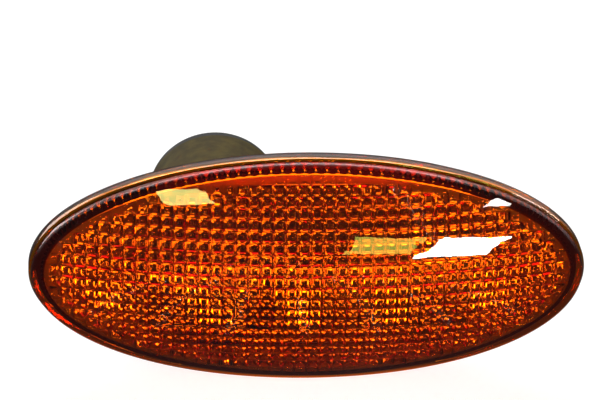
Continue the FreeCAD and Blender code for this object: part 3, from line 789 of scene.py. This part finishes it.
def housing_tones_painted_shade_and_glow(tree, blotches, olive):
    """Olive behind the tub, painted shade that makes the tub nearly black, and a painted glow atop the plate.
    """
    spot = place_parts(tree, tree.nodes.new("ShaderNodeTexCoord").outputs["Object"])
    # The tub's two tones are painted shade.
    tub = tone_ramp(tree, blotches, TUB_PAINTED_SHADE_DARK, TUB_PAINTED_SHADE_LIGHT)
    shell_with_painted_shade = mixed_colour(tree, ranged(tree, spot["Y"], PAINTED_SHADE_UP_TO, OLIVE_FROM), tub, olive)
    # Towards its top, the plate's dark front turns into the painted glow.
    height = ranged(tree, spot["Z"], PLATE_GLOW_STARTS_AT, PLATE_GLOW_FULL_AT)
    plate = mixed_colour(tree, height, PLATE_TONE, PLATE_TOP_PAINTED_GLOW)
    return mixed_colour(tree, ranged(tree, spot["Y"], PLATE_UP_TO, PAINTED_SHADE_FROM, 1.0, 0.0), shell_with_painted_shade, plate)


housing_plastic = moulded_plastic(
    "olive_plastic", OLIVE_DARK, OLIVE_LIGHT,
    roughness=0.7, blotch_scale=420, grain_scale=5200, bump=0.35, tint=housing_tones_painted_shade_and_glow,
)
print("material:", housing_plastic.name)

# %% Metals and the bulb's glass
METAL_BLOTCHES = 350
METAL_GRAIN = 3000
METAL_SPREAD = 0.1
GLASS_INDEX = 1.5
GLASS_SHADOW = (0.97, 0.98, 0.98, 1)


def metal(name, colour, roughness):
    """A plain metal whose roughness varies a little."""
    material, tree, output = new_material(name, colour)
    grain = place_grain(tree, METAL_BLOTCHES, METAL_GRAIN)
    rough = ranged(tree, grain["Grain"], 0.0, 1.0, roughness - METAL_SPREAD, roughness + METAL_SPREAD)
    surface = add_node(
        tree, "ShaderNodeBsdfPrincipled", {"Base Color": colour, "Metallic": 1.0, "Roughness": rough}
    )
    tree.links.new(surface.outputs[0], output.inputs["Surface"])
    return material


def make_bulb_glass():
    """Clear glass, with no dye."""
    material, tree, output = new_material("clear_glass", (0.95, 0.97, 0.97, 1))
    clear_surface(tree, output, GLASS_INDEX, 0.0, GLASS_SHADOW)
    return material


spring_steel = metal("spring_steel", (0.55, 0.55, 0.53, 1), roughness=0.32)
contact_brass = metal("contact_brass", (0.75, 0.6, 0.3, 1), roughness=0.3)
tungsten = metal("tungsten", (0.35, 0.35, 0.36, 1), roughness=0.4)
lead_wire = metal("lead_wire", (0.6, 0.5, 0.42, 1), roughness=0.35)
bulb_glass = make_bulb_glass()
for made in (spring_steel, contact_brass, tungsten, lead_wire, bulb_glass):
    print("material:", made.name)

# %% [markdown]
# ## The wound filament
# The solid filament is a plain bar. Here it is a fine coil: a spiral curve with a round profile, closed
# at its ends, that lies along the bar's axis and stays inside the bar's box.

# %% Wind the filament
FILAMENT_LOW, FILAMENT_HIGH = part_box("bulb_filament")
FILAMENT_CENTRE = (FILAMENT_LOW + FILAMENT_HIGH) / 2
FILAMENT_LENGTH = FILAMENT_HIGH.x - FILAMENT_LOW.x
FILAMENT_THICKNESS = min(FILAMENT_HIGH.y - FILAMENT_LOW.y, FILAMENT_HIGH.z - FILAMENT_LOW.z)
WIRE_RADIUS = 0.05 * MM
WIRE_SIDES = 10
COIL_RADIUS = FILAMENT_THICKNESS / 2 - 1.5 * WIRE_RADIUS
COIL_LENGTH = FILAMENT_LENGTH - 4 * WIRE_RADIUS
COIL_TURNS = 26.0
COIL_STEPS = 20
COIL_SMOOTH_DEGREES = 60


def coil_tree(sizes):
    """A spiral wire whose axis lies along X, round a middle point."""
    tree, size = geometry_tree("filament_coil", sizes)
    spiral = add_node(
        tree,
        "GeometryNodeCurveSpiral",
        {
            "Resolution": size["Steps"], "Rotations": size["Turns"], "Start Radius": size["Coil radius"],
            "End Radius": size["Coil radius"], "Height": size["Length"],
        },
    )
    wire = add_node(
        tree,
        "GeometryNodeCurvePrimitiveCircle",
        {"Resolution": size["Wire sides"], "Radius": size["Wire radius"]},
    )
    coil = add_node(
        tree,
        "GeometryNodeCurveToMesh",
        {"Curve": spiral.outputs[0], "Profile Curve": wire.outputs[0], "Fill Caps": True},
    )
    back = formula(tree, "MULTIPLY", size["Length"], -0.5)
    start = add_node(
        tree,
        "ShaderNodeCombineXYZ",
        {
            0: formula(tree, "ADD", size["Middle across"], back),
            1: size["Middle depth"], 2: size["Middle height"],
        },
    )
    laid = add_node(
        tree,
        "GeometryNodeTransform",
        {"Geometry": coil.outputs[0], "Translation": start.outputs[0], "Rotation": (0, math.pi / 2, 0)},
    )
    end_tree(tree, laid.outputs[0], tungsten)
    return tree


coil_sizes = {
    "Length": COIL_LENGTH,
    "Coil radius": COIL_RADIUS,
    "Wire radius": WIRE_RADIUS,
    "Wire sides": WIRE_SIDES,
    "Turns": COIL_TURNS,
    "Steps": COIL_STEPS,
    "Middle across": FILAMENT_CENTRE.x,
    "Middle depth": FILAMENT_CENTRE.y,
    "Middle height": FILAMENT_CENTRE.z,
}
coil = grow("filament_coil", coil_tree(coil_sizes), coil_sizes)
close_mesh(coil)
smooth_by_angle(coil, COIL_SMOOTH_DEGREES)
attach(coil, "holder")
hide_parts("bulb_filament")
report(coil)
spots = [vertex.co for vertex in coil.data.vertices]
for end, bar_corner in ((min, FILAMENT_LOW), (max, FILAMENT_HIGH)):
    coil_corner = [round(end(spot[axis] for spot in spots) / MM, 2) for axis in range(3)]
    print("corner of the coil in mm:", coil_corner, "and of the bar:", [round(c / MM, 2) for c in bar_corner])

# %% [markdown]
# ## The pieces that keep their mesh
# The other pieces are plain enough to keep the frame's own mesh, and only get their finish here.

# %% Finish the carried-over pieces
finishes = {
    "rear_housing": housing_plastic,
    "bulb_holder": holder_plastic,
    "holder_seal": seal_rubber,
    "panel_gasket": gasket_foam,
    "retaining_clip": spring_steel,
    "contact_live": contact_brass,
    "contact_earth": contact_brass,
    "filament_wire_live": lead_wire,
    "filament_wire_earth": lead_wire,
    "bulb_glass": bulb_glass,
}
for name, material in finishes.items():
    set_material(nodes[name], material)
print("finished CAD pieces:", len(finishes))

# %% [markdown]
# ## Floor and surroundings
# The floor is white for the camera and still takes the lamp's shadow. The world is white wherever the
# camera looks, and behind and above the lamp for reflections. In front it is dim, as in a studio where
# only the backdrop is lit: a dome that mirrored a white room in front of it would look milky.

# %% The floor
FLOOR_Z = -HALF_HEIGHT
FLOOR_HALF = 1.5
FLOOR_PAINT = (0.35, 0.35, 0.35, 1)
FLOOR_GLOW = 0.85
FRONT_FLOOR = 0.07
FLOOR_DIM_UP_TO, FLOOR_WHITE_FROM = 0.3, 1.2


def by_ray(tree, plain, bent, seen):
    """One shader for light on the object, one for what it mirrors or bends, and one for the camera."""
    path = tree.nodes.new("ShaderNodeLightPath").outputs
    is_bent = formula(tree, "MAXIMUM", path["Is Glossy Ray"], path["Is Transmission Ray"])
    other = mixed_shader(tree, is_bent, plain.outputs[0], bent.outputs[0])
    return mixed_shader(tree, path["Is Camera Ray"], other, seen.outputs[0])


def make_floor():
    """A flat white floor under the lamp's lowest point."""
    mesh = bpy.data.meshes.new("studio_floor")
    corners = [(x * FLOOR_HALF, y * FLOOR_HALF, FLOOR_Z) for x, y in ((-1, -1), (1, -1), (1, 1), (-1, 1))]
    mesh.from_pydata(corners, [], [(0, 1, 2, 3)])
    floor = plain_object("studio_floor", mesh)
    material, tree, output = new_material("studio_floor", WHITE)
    paint = add_node(tree, "ShaderNodeBsdfDiffuse", {"Color": FLOOR_PAINT})
    glow = add_node(tree, "ShaderNodeEmission", {"Color": WHITE, "Strength": FLOOR_GLOW})
    both = add_node(tree, "ShaderNodeAddShader", {0: paint.outputs[0], 1: glow.outputs[0]})
    spot = place_parts(tree, tree.nodes.new("ShaderNodeTexCoord").outputs["Object"])
    behind = ranged(
        tree, spot["Y"], FLOOR_DIM_UP_TO, FLOOR_WHITE_FROM, FRONT_FLOOR, 1.0,
        interpolation_type="SMOOTHSTEP",
    )
    mirrored_floor = add_node(tree, "ShaderNodeEmission", {"Color": WHITE, "Strength": behind})
    tree.links.new(by_ray(tree, paint, mirrored_floor, both), output.inputs["Surface"])
    mesh.materials.append(material)


make_floor()
print("floor at a height of", round(FLOOR_Z / MM, 2), "mm")

# %% The world
AMBIENT = 0.17
FRONT_GLOSS = 0.07
SKY_DIM_UP_TO, SKY_WHITE_FROM = -0.15, 0.25
HORIZON_DIM_UP_TO, HORIZON_WHITE_FROM = 0.02, 0.35


def make_world():
    """Dim light on the object, a backdrop behind and above it in reflections, and white for the camera."""
    world = bpy.data.worlds.new("studio_world")
    world.use_nodes = True
    tree = world.node_tree
    tree.nodes.clear()
    way = place_parts(tree, tree.nodes.new("ShaderNodeTexCoord").outputs["Generated"])
    backdrop = ranged(
        tree, way["Y"], SKY_DIM_UP_TO, SKY_WHITE_FROM, FRONT_GLOSS, 1.0, interpolation_type="SMOOTHSTEP"
    )
    horizon = ranged(tree, way["Z"], HORIZON_DIM_UP_TO, HORIZON_WHITE_FROM, FRONT_GLOSS, 1.0)
    glow = formula(tree, "MINIMUM", backdrop, horizon)
    plain, mirrored_sky, seen = (
        add_node(tree, "ShaderNodeBackground", {"Color": WHITE, "Strength": strength})
        for strength in (AMBIENT, glow, 1.0)
    )
    add_node(tree, "ShaderNodeOutputWorld", {"Surface": by_ray(tree, plain, mirrored_sky, seen)})
    scene.world = world


make_world()
print("world:", scene.world.name)

# %% [markdown]
# ## Lamps placed by their reflection
# On a glossy dome a softbox is seen as a highlight. The highlight's place in the picture gives the
# lamp's place: a ray from the camera through that pixel is mirrored by the dome, and the lamp stands
# somewhere along the mirrored ray. Doing that for the four sides of a highlight also gives its size.

# %% Mirror a pixel on the dome
SOFTBOX_DISTANCE = 0.9
HIT_ROUNDS = 40
HIT_STEP = 0.8
FIRST_REACH = VIEW_DISTANCE * 0.95


def pixel_ray(across, down):
    """Direction of the camera's ray through a pixel of the picture."""
    pixel = SENSOR_WIDTH / IMAGE_WIDTH
    right = (across - IMAGE_WIDTH / 2) * pixel
    up = (IMAGE_HEIGHT / 2 - down) * pixel
    return (camera_right * right + camera_up * up - camera_back * FOCAL_LENGTH).normalized()


def dome_hit(across, down):
    """Where a pixel's ray meets the dome, and the dome's normal there."""
    ray = pixel_ray(across, down)
    reach = FIRST_REACH
    for _ in range(HIT_ROUNDS):
        point = camera.location + ray * reach
        if abs(point.z) >= DOME_CROSS:
            break
        reach += (dome_depth(point.x, point.z) - point.y) / ray.y * HIT_STEP
    axis_y = APEX.y + DOME_LONG
    ring = math.hypot(point.x, point.y - axis_y)
    flat = Vector((point.x, point.y - axis_y, 0)) * ((ring - DOME_LONG + DOME_CROSS) / ring)
    return point, (flat + Vector((0, 0, point.z))).normalized()


def mirrored(across, down):
    """The place where a softbox stands along the mirrored ray, and the point on the dome."""
    point, normal = dome_hit(across, down)
    ray = pixel_ray(across, down)
    return point + ray.reflect(normal) * SOFTBOX_DISTANCE, point


middle_hit = dome_hit(IMAGE_WIDTH / 2, IMAGE_HEIGHT / 2)[0]
print("the picture's middle meets the dome at", [round(c / MM, 1) for c in middle_hit], "mm")

# %% The softboxes
LEFT_PATCH = (160, 190, 209, 204)
RIGHT_BLOB = (428, 238, 492, 262)
AMBER_STREAK = (352, 238, 420, 254)
SMALL_GLINT = (497, 194, 520, 205)
PLAIN_LIGHT = (1.0, 1.0, 1.0)
YELLOW_LIGHT = (0.9, 1.0, 0.3)
AMBER_LIGHT = (0.75, 0.9, 0.12)


def lamp_panel(name, place, rotation, width, height, radiance, colour):
    """A rectangular area lamp, with the power that makes it look this bright at its size."""
    data = bpy.data.lights.new(name, "AREA")
    data.shape = "RECTANGLE"
    data.size, data.size_y = width, height
    data.energy = radiance * math.pi * width * height
    data.color = colour
    lamp = bpy.data.objects.new(name, data)
    scene.collection.objects.link(lamp)
    lamp.location = place
    lamp.rotation_euler = rotation
    return lamp


def softbox(name, pixels, radiance, colour):
    """An area lamp whose mirror image on the dome fills a box of pixels: left, top, right, bottom."""
    left, top, right, bottom = pixels
    middle_x, middle_y = (left + right) / 2, (top + bottom) / 2
    centre, point = mirrored(middle_x, middle_y)
    side = mirrored(right, middle_y)[0] - mirrored(left, middle_y)[0]
    rise = mirrored(middle_x, top)[0] - mirrored(middle_x, bottom)[0]
    away = (centre - point).normalized()
    across = (side - away * side.dot(away)).normalized()
    rotation = axes_rotation(across, away.cross(across), away)
    lamp_panel(name, centre, rotation, side.length, rise.length, radiance, colour)
    print(f"{name}: at {[round(c, 2) for c in centre]}, {side.length:.2f} by {rise.length:.2f} m")


softbox("left_softbox", LEFT_PATCH, radiance=16.0, colour=YELLOW_LIGHT)
softbox("amber_softbox", AMBER_STREAK, radiance=9.0, colour=AMBER_LIGHT)
softbox("right_softbox", RIGHT_BLOB, radiance=50.0, colour=PLAIN_LIGHT)
softbox("small_softbox", SMALL_GLINT, radiance=30.0, colour=PLAIN_LIGHT)

# %% [markdown]
# ## Lamps for the rim and the glints
# One wide lamp above and behind fills the rim and shines along the side wall, and one behind to the
# left lights the holder and the clip for the other views. The flanks of the pillows throw light back
# to the viewer, so they show what stands in front. Narrow bright strips there draw a thin bright line
# on each flank: three upright ones for the upper rows, and seven that lie on the floor for the lower
# rows. The strips are hidden from the camera, from plain mirror rays and from matt faces, so the smooth
# dome stays dark and only the light that went through the plastic shows them.

# %% The rear lamps and the strips
def area_lamp(name, place, towards, width, height, radiance):
    """A panel at a place that shines in a direction."""
    rotation = Vector(towards).to_track_quat("-Z", "Y").to_euler()
    return lamp_panel(name, place, rotation, width, height, radiance, PLAIN_LIGHT)


area_lamp(
    "rear_top_lamp", (0, 0.55, 0.75), towards=(0, -0.55, -0.75), width=0.9, height=0.4, radiance=4.0
)
area_lamp(
    "rear_left_lamp", (-0.8, 0.9, 0.35), towards=(0.8, -0.9, -0.3), width=0.6, height=0.6, radiance=3.0
)

UPRIGHT_DEGREES = (-34, 22, 48)
UPRIGHT_DISTANCE, UPRIGHT_MIDDLE = 0.9, 0.55
UPRIGHT_WIDTH, UPRIGHT_HEIGHT, UPRIGHT_RADIANCE = 0.008, 1.1, 130.0
FLOOR_STRIP_PLACES = (-48, -32, -16, 0, 16, 32, 48)
FLOOR_STRIP_MIDDLE, FLOOR_STRIP_RISE = -0.27, 1 * MM
FLOOR_STRIP_WIDTH, FLOOR_STRIP_LENGTH, FLOOR_STRIP_RADIANCE = 2 * MM, 0.5, 220.0

strips = []
for degrees in UPRIGHT_DEGREES:
    across, ahead = math.sin(math.radians(degrees)), math.cos(math.radians(degrees))
    strips.append(area_lamp(
        "upright_strip",
        (UPRIGHT_DISTANCE * across, -UPRIGHT_DISTANCE * ahead, UPRIGHT_MIDDLE),
        (-across, ahead, 0),
        UPRIGHT_WIDTH,
        UPRIGHT_HEIGHT,
        UPRIGHT_RADIANCE,
    ))
for along in FLOOR_STRIP_PLACES:
    strips.append(area_lamp(
        "floor_strip",
        (along * MM, FLOOR_STRIP_MIDDLE, FLOOR_Z + FLOOR_STRIP_RISE),
        (0, 0, 1),
        FLOOR_STRIP_WIDTH,
        FLOOR_STRIP_LENGTH,
        FLOOR_STRIP_RADIANCE,
    ))
for strip in strips:
    strip.visible_camera = strip.visible_glossy = strip.visible_diffuse = False
print("strip lamps:", len(strips))

# %% [markdown]
# ## Finish
# The view layer is brought up to date at the end. The dressed model has to stay inside
# the frame's box.

# %% Finish
bpy.context.view_layer.update()
